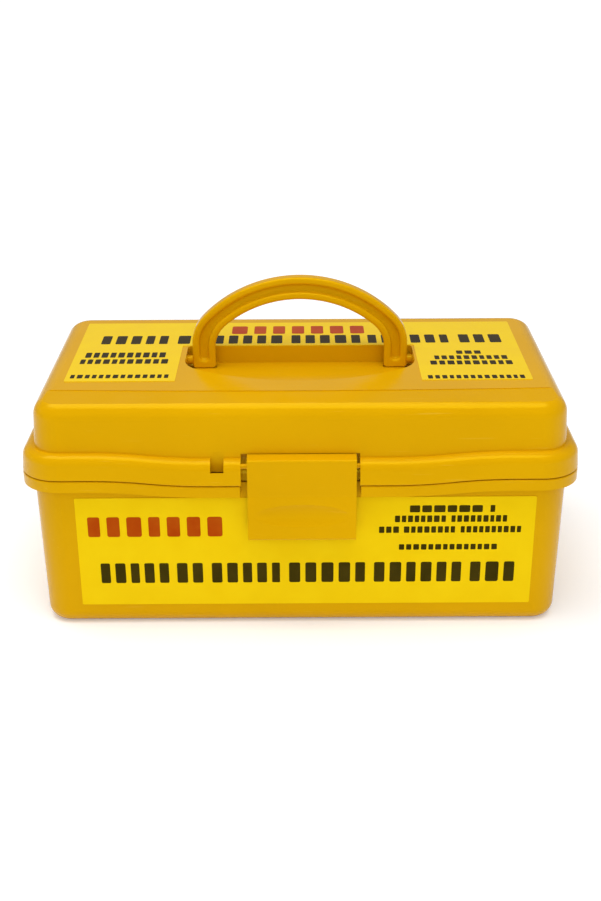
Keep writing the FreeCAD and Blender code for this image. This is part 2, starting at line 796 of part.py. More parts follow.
def snapBead():
    # a round bead inside the latch, one clearance outside the ridge's tip and just below it
    tip = catchTipY() - v.catchClearance
    z = catchHeight - v.catchReach / 2 - v.beadRadius - v.catchClearance
    bead = barAlongX(v.beadRadius, -v.catchHalfWidth, v.catchHalfWidth, tip - v.beadRadius, z)
    stalk = extrudeProfile(
        [
            (latchFrontY + v.latchThickness / 2, z + v.beadRadius),
            (tip - v.beadRadius, z + v.beadRadius),
            (tip - v.beadRadius, z - v.beadRadius),
            (latchFrontY + v.latchThickness / 2, z - v.beadRadius),
        ],
        -v.catchHalfWidth,
        v.catchHalfWidth,
    )
    return bead.fuse(stalk)


def dimpleTool():
    # a lemon-shaped solid whose flank leaves an oval hollow in the flared face
    crossRadius = v.dimpleHalfHeight ** 2 / (2 * v.dimpleDepth)
    longRadius = v.dimpleHalfWidth ** 2 / (2 * v.dimpleDepth)
    halfLength = math.sqrt(2 * longRadius * crossRadius - crossRadius ** 2)
    arc = Part.Arc(
        FreeCAD.Vector(-halfLength, 0, 0),
        FreeCAD.Vector(0, crossRadius, 0),
        FreeCAD.Vector(halfLength, 0, 0),
    ).toShape()
    axis = Part.makeLine(FreeCAD.Vector(halfLength, 0, 0), FreeCAD.Vector(-halfLength, 0, 0))
    lemon = Part.Face(Part.Wire([arc, axis])).revolve(FreeCAD.Vector(0, 0, 0), FreeCAD.Vector(1, 0, 0), 360)
    fall = latchStep - latchBottom
    tilt = math.atan2(v.latchFlare, fall)
    faceY = latchFrontY - v.latchFlare * (latchStep - dimpleHeight) / fall
    stand = crossRadius - v.dimpleDepth
    lemon.translate(
        FreeCAD.Vector(0, faceY - stand * math.cos(tilt), dimpleHeight + stand * math.sin(tilt))
    )
    return lemon


def addShell(name, shape):
    feature = doc.addObject("Part::Feature", name)
    feature.Shape = shape
    feature.Placement = FreeCAD.Placement()
    feature.Label = name
    return feature


# Sub-parts that are plain features


def originPlane(body, role):
    for feature in body.Origin.OriginFeatures:
        if feature.Role == role:
            return feature
    raise ValueError(role)


def newBody(name):
    body = doc.addObject("PartDesign::Body", name)
    body.Label = name
    return body


def newSketch(body, name, role="XY_Plane"):
    sketch = body.newObject("Sketcher::SketchObject", body.Name + name)
    sketch.AttachmentSupport = [(originPlane(body, role), "")]
    sketch.MapMode = "FlatFace"
    return sketch


roughSize = 10.0


def bindDistance(sketch, kind, first, second, name, expression):
    # first and second are (geometry, point) pairs, in rising order along the axis
    index = sketch.addConstraint(Sketcher.Constraint(kind, *first, *second, roughSize))
    sketch.renameConstraint(index, name)
    sketch.setExpression("Constraints." + name, expression)


def addRectangle(sketch, width, depth, shiftX="0", shiftY="0", tag=""):
    # a rectangle of four lines whose low corner and size are bound to expressions
    signs = [(-1, -1), (1, -1), (1, 1), (-1, 1)]
    corners = [FreeCAD.Vector(x * roughSize, y * roughSize, 0) for x, y in signs]
    lines = []
    for index in range(4):
        segment = Part.LineSegment(corners[index], corners[(index + 1) % 4])
        lines.append(sketch.addGeometry(segment, False))
    for index in range(4):
        following = lines[(index + 1) % 4]
        sketch.addConstraint(Sketcher.Constraint("Coincident", lines[index], 2, following, 1))
    for index, kind in enumerate(("Horizontal", "Vertical", "Horizontal", "Vertical")):
        sketch.addConstraint(Sketcher.Constraint(kind, lines[index]))
    bindDistance(sketch, "DistanceX", (lines[0], 1), (lines[0], 2), "width" + tag, width)
    bindDistance(sketch, "DistanceY", (lines[1], 1), (lines[1], 2), "depth" + tag, depth)
    bindDistance(sketch, "DistanceX", (lines[0], 1), (-1, 1), "left" + tag, f"({width}) / 2 - ({shiftX})")
    bindDistance(sketch, "DistanceY", (lines[0], 1), (-1, 1), "near" + tag, f"({depth}) / 2 - ({shiftY})")


def addCircle(sketch, radius, tag, columns=0, pitchX="0", rows=0, pitchY="0"):
    # a circle at (columns x pitchX, rows x pitchY) from the sketch's origin
    centre = FreeCAD.Vector(columns * roughSize, rows * roughSize, 0)
    circle = sketch.addGeometry(Part.Circle(centre, FreeCAD.Vector(0, 0, 1), roughSize / 4), False)
    index = sketch.addConstraint(Sketcher.Constraint("Radius", circle, roughSize / 4))
    sketch.renameConstraint(index, "radius" + tag)
    sketch.setExpression("Constraints.radius" + tag, radius)
    for kind, steps, pitch, axis in (("DistanceX", columns, pitchX, -2), ("DistanceY", rows, pitchY, -1)):
        if steps == 0:
            sketch.addConstraint(Sketcher.Constraint("PointOnObject", circle, 3, axis))
            continue
        ends = [(-1, 1), (circle, 3)]
        if steps < 0:
            ends.reverse()
        bindDistance(sketch, kind, ends[0], ends[1], kind + tag, f"{abs(steps)} * ({pitch})")


def addFeature(body, kind, name, sketch, length, reversed_=False, throughAll=False):
    feature = body.newObject(kind, body.Name + name)
    feature.Profile = sketch
    if throughAll:
        feature.Type = "ThroughAll"
        feature.Midplane = True
    else:
        feature.setExpression("Length", length)
        feature.Reversed = reversed_
    sketch.Visibility = False
    doc.recompute()
    return feature


def addPad(body, name, sketch, length):
    return addFeature(body, "PartDesign::Pad", name, sketch, length)


def addPocket(body, name, sketch, length="", throughAll=False):
    before = body.Shape.Volume
    feature = addFeature(body, "PartDesign::Pocket", name, sketch, length, throughAll=throughAll)
    if abs(body.Shape.Volume - before) < touching:
        feature.Reversed = True
        doc.recompute()
    if body.Shape.Volume > before - touching:
        raise RuntimeError(f"{feature.Name} cuts nothing")
    return feature


def raiseSketch(sketch, expression):
    sketch.setExpression(".AttachmentOffset.Base.z", expression)


def roundUprights(body, name, feature, radius):
    # fillets the upright corner edges of the solid's outline
    bounds = feature.Shape.BoundBox
    names = []
    for index, edge in enumerate(feature.Shape.Edges, start=1):
        at = edge.BoundBox
        upright = at.XLength < touching and at.YLength < touching and at.ZLength > touching
        corner = min(at.XMin - bounds.XMin, bounds.XMax - at.XMax) < touching
        corner = corner and min(at.YMin - bounds.YMin, bounds.YMax - at.YMax) < touching
        if upright and corner:
            names.append(f"Edge{index}")
    fillet = body.newObject("PartDesign::Fillet", body.Name + name)
    fillet.Base = (feature, names)
    fillet.setExpression("Radius", radius)
    doc.recompute()
    return fillet


def place(body, x="0", y="0", z="0"):
    for axis, expression in (("x", x), ("y", y), ("z", z)):
        if expression != "0":
            body.setExpression(f".Placement.Base.{axis}", expression)


def buildPin(name, radius, length, x, y, z):
    # a plain round pin along X, centred on (x, y, z)
    body = newBody(name)
    sketch = newSketch(body, "Section", "YZ_Plane")
    addCircle(sketch, radius, "Pin")
    pad = addPad(body, "Shank", sketch, length)
    pad.Midplane = True
    doc.recompute()
    place(body, x, y, z)
    return body


def buildFrontSticker():
    body = newBody("front_label")
    sketch = newSketch(body, "Outline")
    width = "Sizes.caseWidth - 2 * (Sizes.tubWallInset + Sizes.frontStickerSideMargin)"
    clearOfRim = "Sizes.partingHeight - Sizes.rimHeight - Sizes.frontDip - Sizes.frontStickerTopMargin"
    addRectangle(sketch, width, f"{clearOfRim} - Sizes.frontStickerBottom")
    pad = addPad(body, "Sheet", sketch, "Sizes.stickerThickness")
    roundUprights(body, "Corners", pad, "Sizes.stickerCornerRadius")
    # it lies on the drafted front wall, whose face leans out by the draft angle
    lean = math.degrees(math.atan2(v.tubDraft, rimBottom))
    middle = v.frontStickerBottom + frontStickerHeight / 2
    turn = FreeCAD.Rotation(FreeCAD.Vector(1, 0, 0), 90 + lean)
    at = FreeCAD.Vector(v.frontStickerShift, tubWallY(middle), middle)
    body.Placement = FreeCAD.Placement(at, turn)
    return body


def buildTopSticker():
    body = newBody("top_label")
    sketch = newSketch(body, "Outline")
    edge = "Sizes.lidWallInset + Sizes.lidDraft + Sizes.lidEdgeRadius"
    width = f"Sizes.caseWidth - 2 * ({edge} + Sizes.topStickerSideMargin)"
    back = f"(Sizes.caseDepth / 2 - ({edge}) - Sizes.topStickerRearMargin)"
    front = "(Sizes.caseDepth / 2 - Sizes.ledgeSetback - Sizes.topStickerLedgeGap)"
    addRectangle(sketch, width, f"{back} + {front}", shiftY=f"({back} - {front}) / 2")
    pad = addPad(body, "Sheet", sketch, "Sizes.stickerThickness")
    roundUprights(body, "Corners", pad, "Sizes.stickerCornerRadius")
    # the cut-out leaves the handle well and the panel before it bare
    cut = newSketch(body, "WellOutline")
    wellBehind = "Sizes.handleThickness / 2 + Sizes.wellBackGap"
    cutBack = f"(Sizes.handleSetback + {wellBehind} + Sizes.topStickerWellGap)"
    cutWidth = "2 * (Sizes.handleHalfWidth + Sizes.wellSideGap + Sizes.topStickerLegInset)"
    cutFront = f"({front} + Sizes.topStickerLegInset)"
    addRectangle(cut, cutWidth, f"{cutBack} + {cutFront}", shiftY=f"({cutBack} - {cutFront}) / 2")
    addPocket(body, "WellCut", cut, throughAll=True)
    place(body, x="Sizes.topStickerShift", z="Sizes.caseHeight")
    return body


def buildFloorPad():
    body = newBody("floor_pad")
    sketch = newSketch(body, "Outline")
    inset = "(Sizes.tubWallInset + Sizes.tubDraft + Sizes.tubEdgeRadius + Sizes.padMargin)"
    addRectangle(sketch, f"Sizes.caseWidth - 2 * {inset}", f"Sizes.caseDepth - 2 * {inset}")
    pad = addPad(body, "Sheet", sketch, "Sizes.padThickness")
    roundUprights(body, "Corners", pad, "Sizes.tubCornerRadius - Sizes.tubEdgeRadius")
    place(body, z="Sizes.wall")
    return body


floorInset = "(Sizes.tubWallInset + Sizes.tubDraft + Sizes.tubEdgeRadius)"
rackAcross = f"(Sizes.caseWidth / 2 - {floorInset} - Sizes.rackGap / 2 - Sizes.rackClearance)"
rackAlong = f"(Sizes.caseDepth - 2 * ({floorInset} + Sizes.rackClearance))"
postCorners = [(column, row) for column in (-1, 1) for row in (-1, 1)]
postAcross = f"({rackAcross} / 2 - Sizes.rackPostInset)"
postAlong = f"({rackAlong} / 2 - Sizes.rackPostInset)"


def seatSteps(room, radius, pitch):
    # as many seats as the plate has room for, counted in pitches from its middle
    count = 1 + int((room - 2 * (radius + v.seatWeb)) // pitch)
    return [index - (count - 1) / 2 for index in range(count)]


def seatGrid(radius, pitchAcross, pitchAlong):
    columns = seatSteps(rackWidth, radius, pitchAcross)
    rows = seatSteps(rackDepth, radius, pitchAlong)
    return [(column, row) for column in columns for row in rows]


def addCircles(sketch, radius, steps, pitchX, pitchY):
    for index, (column, row) in enumerate(steps):
        addCircle(sketch, radius, str(index), column, pitchX, row, pitchY)


def buildPlate(name, rack, thickness, seatRadius, seatDepth, z):
    # a rounded square plate with cup seats, four screw holes and the stem's hole
    body = newBody(name)
    outline = newSketch(body, "Outline")
    addRectangle(outline, rackAcross, rackAlong)
    pad = addPad(body, "Plate", outline, thickness)
    roundUprights(body, "Corners", pad, "Sizes.rackCornerRadius")
    seats = newSketch(body, "SeatCircles")
    addCircles(seats, seatRadius, rack["steps"], rack["pitchX"], rack["pitchY"])
    if seatDepth:
        raiseSketch(seats, thickness)
        addPocket(body, "Seats", seats, seatDepth)
    else:
        addPocket(body, "Seats", seats, throughAll=True)
    holes = newSketch(body, "HoleCircles")
    addCircles(holes, "Sizes.screwRadius + Sizes.screwHoleClearance", postCorners, postAcross, postAlong)
    addPocket(body, "ScrewHoles", holes, throughAll=True)
    place(body, x=rack["x"], z=z)
    return body


def buildRack(rack):
    prefix = rack["name"]
    baseZ = "Sizes.wall + Sizes.padThickness"
    postZ = f"{baseZ} + Sizes.rackBaseThickness"
    deckZ = f"{postZ} + Sizes.rackPostLength"

    base = buildPlate(
        prefix + "_rack_base", rack, "Sizes.rackBaseThickness", rack["foot"], "Sizes.cupSeatDepth", baseZ
    )
    sinks = newSketch(base, "HeadCircles")
    headRadius = "Sizes.screwHeadRadius + Sizes.screwHeadClearance"
    addCircles(sinks, headRadius, postCorners, postAcross, postAlong)
    addPocket(base, "HeadSinks", sinks, "Sizes.screwHeadHeight + Sizes.screwHeadClearance")
    tenonHole = newSketch(base, "TenonCircle")
    addCircle(tenonHole, "Sizes.stemRadius - Sizes.stemShoulder", "Tenon")
    addPocket(base, "TenonHole", tenonHole, throughAll=True)

    deck = buildPlate(prefix + "_rack_deck", rack, "Sizes.rackDeckThickness", rack["seat"], "", deckZ)
    stemHole = newSketch(deck, "StemCircle")
    addCircle(stemHole, "Sizes.stemRadius", "Stem")
    addPocket(deck, "StemHole", stemHole, throughAll=True)

    posts = newBody(prefix + "_rack_posts")
    circles = newSketch(posts, "PostCircles")
    addCircles(circles, "Sizes.rackPostRadius", postCorners, postAcross, postAlong)
    addPad(posts, "Posts", circles, "Sizes.rackPostLength")
    pilots = newSketch(posts, "PilotCircles")
    addCircles(pilots, "Sizes.screwRadius", postCorners, postAcross, postAlong)
    addPocket(posts, "PilotHoles", pilots, throughAll=True)
    place(posts, x=rack["x"], z=postZ)

    # a stem with a reduced tenon, pressed through the base
    stem = newBody(prefix + "_rack_stem")
    tenon = newSketch(stem, "TenonCircle")
    addCircle(tenon, "Sizes.stemRadius - Sizes.stemShoulder", "Tenon")
    addPad(stem, "Tenon", tenon, "Sizes.rackBaseThickness")
    shaft = newSketch(stem, "ShaftCircle")
    raiseSketch(shaft, "Sizes.rackBaseThickness")
    addCircle(shaft, "Sizes.stemRadius", "Shaft")
    addPad(stem, "Shaft", shaft, "Sizes.stemLength")
    place(stem, x=rack["x"], z=baseZ)

    buildKnob(prefix + "_rack_knob", rack["x"])
    buildScrews(prefix + "_rack_screws", rack["x"])


def buildKnob(name, x):
    # a turned knob: flat top, waisted foot, blind socket for the stem
    body = newBody(name)
    disc = newSketch(body, "FootCircle")
    addCircle(disc, "Sizes.knobRadius - Sizes.knobWaist", "Foot")
    addPad(body, "Foot", disc, "Sizes.knobHeight / 2")
    cap = newSketch(body, "CapCircle")
    raiseSketch(cap, "Sizes.knobHeight / 2")
    addCircle(cap, "Sizes.knobRadius", "Cap")
    capPad = addPad(body, "Cap", cap, "Sizes.knobHeight / 2")
    names = []
    for index, edge in enumerate(capPad.Shape.Edges, start=1):
        at = edge.BoundBox
        if at.ZLength < touching and at.XLength > 2 * v.knobRadius - touching:
            names.append(f"Edge{index}")
    fillet = body.newObject("PartDesign::Fillet", name + "Rounds")
    fillet.Base = (capPad, names)
    fillet.setExpression("Radius", "Sizes.knobEdgeRadius")
    doc.recompute()
    socket = newSketch(body, "SocketCircle")
    addCircle(socket, "Sizes.stemRadius", "Socket")
    addPocket(body, "Socket", socket, "Sizes.knobSocket")
    stemTop = "Sizes.wall + Sizes.padThickness + Sizes.rackBaseThickness + Sizes.stemLength"
    place(body, x=x, z=f"{stemTop} - Sizes.knobSocket")


def buildScrews(name, x):
    # eight pan-head screws: four down through the deck, four up through the base
    body = newBody(name)
    postZ = "Sizes.rackBaseThickness"
    deckTop = f"{postZ} + Sizes.rackPostLength + Sizes.rackDeckThickness"
    headSink = "Sizes.screwHeadClearance"
    levels = [
        ("DeckShanks", f"{deckTop} - Sizes.screwLength", "Sizes.screwLength", "Sizes.screwRadius"),
        ("DeckHeads", deckTop, "Sizes.screwHeadHeight", "Sizes.screwHeadRadius"),
        ("BaseHeads", headSink, "Sizes.screwHeadHeight", "Sizes.screwHeadRadius"),
        ("BaseShanks", f"{headSink} + Sizes.screwHeadHeight", "Sizes.screwLength", "Sizes.screwRadius"),
    ]
    for tag, start, length, radius in levels:
        sketch = newSketch(body, tag + "Circles")
        raiseSketch(sketch, start)
        addCircles(sketch, radius, postCorners, postAcross, postAlong)
        addPad(body, tag, sketch, length)
    place(body, x=x, z="Sizes.wall + Sizes.padThickness")


addShell("tub", buildTub())
addShell("lid", buildLid())
addShell("carry_handle", buildHandle())
addShell("front_latch", buildLatch())

pinLength = "2 * (Sizes.latchWidth / 2 + Sizes.latchSideGap + Sizes.earThickness)"
buildPin(
    "latch_pin",
    "Sizes.latchPinRadius",
    pinLength,
    "0",
    "Sizes.latchPivotInset - Sizes.caseDepth / 2",
    "Sizes.partingHeight + Sizes.flangeHeight - Sizes.latchTopInset - Sizes.latchPivotDrop",
)
hingeLength = "Sizes.lidKnuckleLength + 2 * (Sizes.knuckleGap + Sizes.tubKnuckleLength)"
for sideName, sign in (("left", "-"), ("right", "")):
    buildPin(
        sideName + "_hinge_pin",
        "Sizes.hingePinRadius",
        hingeLength,
        sign + "(Sizes.caseWidth / 2 - Sizes.hingeInset)",
        "Sizes.caseDepth / 2 + Sizes.hingeOffset",
        "Sizes.partingHeight",
    )
buildFrontSticker()
buildTopSticker()
buildFloorPad()

rackOffset = f"({rackAcross} + Sizes.rackGap) / 2"
buildRack(
    {
        "name": "urine",
        "x": "-" + rackOffset,
        "steps": seatGrid(v.largeSeatRadius, v.largePitch, v.largePitch),
        "pitchX": "Sizes.largePitch",
        "pitchY": "Sizes.largePitch",
        "seat": "Sizes.largeSeatRadius",
        "foot": "Sizes.largeFootRadius",
    }
)
buildRack(
    {
        "name": "stool",
        "x": rackOffset,
        "steps": seatGrid(v.smallSeatRadius, v.smallPitchAcross, v.smallPitchAlong),
        "pitchX": "Sizes.smallPitchAcross",
        "pitchY": "Sizes.smallPitchAlong",
        "seat": "Sizes.smallSeatRadius",
        "foot": "Sizes.smallFootRadius",
    }
)

doc.recompute()

subParts = []
for item in doc.Objects:
    if "Invalid" in item.State or "Error" in item.State:
        raise RuntimeError(f"{item.Name} failed to build: {item.State}")
    if item.isDerivedFrom("PartDesign::Body") or item.TypeId == "Part::Feature":
        subParts.append(item)

os.makedirs("parts", exist_ok=True)
for item in subParts:
    shape = item.Shape
    if shape.isNull() or not shape.isValid() or shape.Volume <= 0:
        raise RuntimeError(f"{item.Label} has no valid solid")
    shape.exportStep(os.path.join("parts", item.Label + ".step"))
    print(item.Label, len(shape.Solids), "solids", round(shape.Volume), "mm3")
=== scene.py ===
import math
import random

import bmesh
import bpy
from mathutils import Matrix, Vector, noise


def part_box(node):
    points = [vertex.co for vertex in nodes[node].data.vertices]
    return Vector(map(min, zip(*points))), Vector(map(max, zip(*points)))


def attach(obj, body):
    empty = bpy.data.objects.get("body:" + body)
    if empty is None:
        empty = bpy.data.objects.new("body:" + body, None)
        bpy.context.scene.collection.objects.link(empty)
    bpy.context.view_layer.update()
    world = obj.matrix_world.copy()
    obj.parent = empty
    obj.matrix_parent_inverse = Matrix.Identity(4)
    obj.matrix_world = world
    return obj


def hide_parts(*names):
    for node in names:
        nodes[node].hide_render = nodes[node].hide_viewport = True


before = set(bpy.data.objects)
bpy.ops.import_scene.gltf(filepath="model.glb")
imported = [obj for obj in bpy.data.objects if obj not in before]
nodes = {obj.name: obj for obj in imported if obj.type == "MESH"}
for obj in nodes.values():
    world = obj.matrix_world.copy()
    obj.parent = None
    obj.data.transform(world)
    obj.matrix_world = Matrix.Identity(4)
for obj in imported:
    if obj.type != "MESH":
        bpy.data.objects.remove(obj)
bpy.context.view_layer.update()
scene = bpy.context.scene
mm = 0.001
print("frame loaded:", len(nodes), "nodes")


# shared helpers


def addNode(tree, kind, inputs=None, **settings):
    made = tree.nodes.new("ShaderNode" + kind)
    for key, value in settings.items():
        setattr(made, key, value)
    for name, value in (inputs or {}).items():
        if isinstance(value, bpy.types.NodeSocket):
            tree.links.new(value, made.inputs[name])
        else:
            made.inputs[name].default_value = value
    return made


def startMaterial(name, shaderInputs):
    material = bpy.data.materials.new(name)
    material.use_nodes = True
    tree = material.node_tree
    tree.nodes.clear()
    shader = addNode(tree, "BsdfPrincipled", shaderInputs)
    addNode(tree, "OutputMaterial", {"Surface": shader.outputs["BSDF"]})
    place = addNode(tree, "TexCoord").outputs["Object"]
    return material, tree, shader, place


def stretched(tree, place, scale, turn=(0.0, 0.0, 0.0)):
    # the object's own coordinates, squeezed to draw a pattern out along one way
    return addNode(tree, "Mapping", {"Vector": place, "Scale": scale, "Rotation": turn}).outputs["Vector"]


def noiseValue(tree, place, scale, detail=2.0, roughness=0.5):
    made = addNode(tree, "TexNoise", {"Vector": place, "Scale": scale, "Detail": detail, "Roughness": roughness})
    return made.outputs["Fac"]


def remapped(tree, value, low, high, outLow, outHigh):
    made = addNode(
        tree,
        "MapRange",
        {"Value": value, "From Min": low, "From Max": high, "To Min": outLow, "To Max": outHigh},
    )
    return made.outputs["Result"]


def mixedColour(tree, factor, first, second):
    made = addNode(tree, "Mix", data_type="RGBA")
    tree.links.new(factor, made.inputs["Factor"])
    for socket, value in ((made.inputs["A"], first), (made.inputs["B"], second)):
        colourSocket(tree, made, socket, value)
    return [out for out in made.outputs if out.type == "RGBA"][0]


def colourSocket(tree, made, socket, value):
    # the Mix node has sockets of one name for numbers, vectors and colours
    target = [item for item in made.inputs if item.name == socket.name and item.type == "RGBA"][0]
    if isinstance(value, bpy.types.NodeSocket):
        tree.links.new(value, target)
    else:
        target.default_value = (*value, 1.0)


def bumpNormal(tree, layers):
    # each layer is (height socket, depth in metres)
    normal = None
    for height, depth in layers:
        inputs = {"Height": height, "Distance": depth, "Strength": 1.0}
        if normal is not None:
            inputs["Normal"] = normal
        normal = addNode(tree, "Bump", inputs).outputs["Normal"]
    return normal


def setMaterial(target, material):
    target.data.materials.clear()
    target.data.materials.append(material)


def meshPiece(name, bm, material, smooth=False):
    mesh = bpy.data.meshes.new(name)
    bm.to_mesh(mesh)
    bm.free()
    if smooth:
        mesh.shade_smooth()
    piece = bpy.data.objects.new(name, mesh)
    scene.collection.objects.link(piece)
    mesh.materials.append(material)
    return piece


# case plastic

caseFinish = {
    "deepYellow": (0.700, 0.362, 0.001),
    "lightYellow": (0.740, 0.388, 0.001),
    "scuffYellow": (0.800, 0.470, 0.040),
    "flowScale": 14.0,
    "grainScale": 1500.0,
    "grainDepth": 0.00001,
    "waveScale": 22.0,
    "waveDepth": 0.00012,
    "polish": 0.13,
    "dull": 0.22,
    "reflection": 0.5,
    "reflectionTint": (1.0, 0.85, 0.02, 1.0),
}


def makeCasePlastic():
    look = caseFinish
    material, tree, shader, place = startMaterial(
        "casePlastic",
        {"Specular IOR Level": look["reflection"], "Specular Tint": look["reflectionTint"], "IOR": 1.49},
    )
    flow = noiseValue(tree, place, look["flowScale"], detail=3.0)
    colour = mixedColour(tree, remapped(tree, flow, 0.3, 0.7, 0.0, 1.0), look["deepYellow"], look["lightYellow"])
    hairlines = noiseValue(tree, stretched(tree, place, (30.0, 700.0, 700.0), (0.0, 0.0, 0.5)), 1.0, detail=3.0)
    scuffs = remapped(tree, hairlines, 0.68, 0.74, 0.0, 0.35)
    colour = mixedColour(tree, scuffs, colour, look["scuffYellow"])
    tree.links.new(colour, shader.inputs["Base Color"])
    smudges = noiseValue(tree, place, 45.0, detail=4.0)
    gloss = remapped(tree, smudges, 0.35, 0.7, look["polish"], look["dull"])
    tree.links.new(gloss, shader.inputs["Roughness"])
    grain = noiseValue(tree, place, look["grainScale"], detail=1.0)
    wave = noiseValue(tree, place, look["waveScale"], detail=1.0)
    normal = bumpNormal(tree, [(wave, look["waveDepth"]), (grain, look["grainDepth"])])
    tree.links.new(normal, shader.inputs["Normal"])
    return material


# sticker film and its inks

filmFinish = {
    "yellow": (0.905, 0.605, 0.003),
    "paleYellow": (0.930, 0.640, 0.004),
    "black": (0.024, 0.014, 0.002),
    "blackWorn": (0.042, 0.026, 0.004),
    "red": (0.430, 0.040, 0.002),
    "redWorn": (0.510, 0.080, 0.004),
    "inkReflection": 0.25,
    "rippleScale": 22.0,
    "rippleDepth": 0.00012,
    "polish": 0.16,
    "dull": 0.26,
    "reflection": 0.5,
    "reflectionTint": (1.0, 0.88, 0.0, 1.0),
}


def makeFilm(name, base, worn, reflection):
    look = filmFinish
    material, tree, shader, place = startMaterial(
        name,
        {"Specular IOR Level": look[reflection], "Specular Tint": look["reflectionTint"], "IOR": 1.49},
    )
    blotch = noiseValue(tree, place, 60.0, detail=4.0)
    colour = mixedColour(tree, remapped(tree, blotch, 0.35, 0.7, 0.0, 1.0), look[base], look[worn])
    tree.links.new(colour, shader.inputs["Base Color"])
    gloss = remapped(tree, blotch, 0.3, 0.7, look["polish"], look["dull"])
    tree.links.new(gloss, shader.inputs["Roughness"])
    ripple = noiseValue(tree, place, look["rippleScale"], detail=1.0)
    tooth = noiseValue(tree, place, 2500.0, detail=1.0)
    normal = bumpNormal(tree, [(ripple, look["rippleDepth"]), (tooth, 0.000004)])
    tree.links.new(normal, shader.inputs["Normal"])
    return material


# rack plastic, knobs and metal

rackFinish = {"white": (0.78, 0.79, 0.77), "shade": (0.70, 0.71, 0.69), "sawScale": 900.0, "sawDepth": 0.00003}
knobFinish = {"black": (0.012, 0.012, 0.014), "greyed": (0.030, 0.030, 0.033), "grainDepth": 0.00003}
metalFinish = {
    "steel": (0.42, 0.42, 0.43),
    "steelDark": (0.30, 0.30, 0.31),
    "zinc": (0.52, 0.52, 0.54),
    "zincBlue": (0.42, 0.45, 0.50),
    "rod": (0.58, 0.59, 0.61),
    "rodDark": (0.47, 0.48, 0.50),
}


def makeRackPlastic():
    look = rackFinish
    material, tree, shader, place = startMaterial("rackPlastic", {"Specular IOR Level": 0.4})
    cloud = noiseValue(tree, place, 35.0, detail=4.0)
    colour = mixedColour(tree, remapped(tree, cloud, 0.3, 0.7, 0.0, 1.0), look["white"], look["shade"])
    tree.links.new(colour, shader.inputs["Base Color"])
    tree.links.new(remapped(tree, cloud, 0.3, 0.7, 0.45, 0.60), shader.inputs["Roughness"])
    saw = noiseValue(tree, stretched(tree, place, (0.08, 1.0, 1.0)), look["sawScale"], detail=2.0)
    pits = noiseValue(tree, place, 1200.0, detail=1.0)
    normal = bumpNormal(tree, [(saw, look["sawDepth"]), (pits, 0.00001)])
    tree.links.new(normal, shader.inputs["Normal"])
    return material


def makeKnobPlastic():
    look = knobFinish
    material, tree, shader, place = startMaterial("knobPlastic", {"Specular IOR Level": 0.5})
    dust = noiseValue(tree, place, 220.0, detail=5.0)
    colour = mixedColour(tree, remapped(tree, dust, 0.4, 0.75, 0.0, 1.0), look["black"], look["greyed"])
    tree.links.new(colour, shader.inputs["Base Color"])
    tree.links.new(remapped(tree, dust, 0.3, 0.7, 0.28, 0.42), shader.inputs["Roughness"])
    grain = noiseValue(tree, place, 1800.0, detail=1.0)
    tree.links.new(bumpNormal(tree, [(grain, look["grainDepth"])]), shader.inputs["Normal"])
    return material


def makeMetal(name, base, other, stretch, roughness):
    look = metalFinish
    material, tree, shader, place = startMaterial(name, {"Metallic": 1.0})
    tarnish = noiseValue(tree, place, 160.0, detail=4.0)
    colour = mixedColour(tree, remapped(tree, tarnish, 0.35, 0.7, 0.0, 1.0), look[base], look[other])
    tree.links.new(colour, shader.inputs["Base Color"])
    drawn = noiseValue(tree, stretched(tree, place, stretch), 2200.0, detail=2.0)
    tree.links.new(remapped(tree, drawn, 0.3, 0.7, roughness - 0.06, roughness + 0.08), shader.inputs["Roughness"])
    tree.links.new(bumpNormal(tree, [(drawn, 0.000006)]), shader.inputs["Normal"])
    return material


casePlastic = makeCasePlastic()
labelFilm = makeFilm("labelFilm", "yellow", "paleYellow", "reflection")
blackInk = makeFilm("blackInk", "black", "blackWorn", "inkReflection")
redInk = makeFilm("redInk", "red", "redWorn", "inkReflection")
rackPlastic = makeRackPlastic()
knobPlastic = makeKnobPlastic()
pinSteel = makeMetal("pinSteel", "steel", "steelDark", (0.1, 1.0, 1.0), 0.30)
screwSteel = makeMetal("screwSteel", "zinc", "zincBlue", (1.0, 1.0, 1.0), 0.34)
stemMetal = makeMetal("stemMetal", "rod", "rodDark", (1.0, 1.0, 0.15), 0.32)

nodeMaterials = {
    "tub": casePlastic,
    "lid": casePlastic,
    "carry_handle": casePlastic,
    "front_latch": casePlastic,
    "latch_pin": casePlastic,
    "left_hinge_pin": pinSteel,
    "right_hinge_pin": pinSteel,
    "front_label": labelFilm,
    "top_label": labelFilm,
}
for rack in ("urine", "stool"):
    for part in ("base", "deck", "posts"):
        nodeMaterials[f"{rack}_rack_{part}"] = rackPlastic
    nodeMaterials[f"{rack}_rack_stem"] = stemMetal
    nodeMaterials[f"{rack}_rack_knob"] = knobPlastic
for name, material in nodeMaterials.items():
    setMaterial(nodes[name], material)
print("materials set on", len(nodeMaterials), "nodes")


# generic print on the stickers: rows of plain blocks where a label carries its words

printFilm = {
    "lift": 0.03 * mm,
    "corner": 0.16,
    "cornerSteps": 3,
    "uneven": 0.16,
    "seed": 7,
}

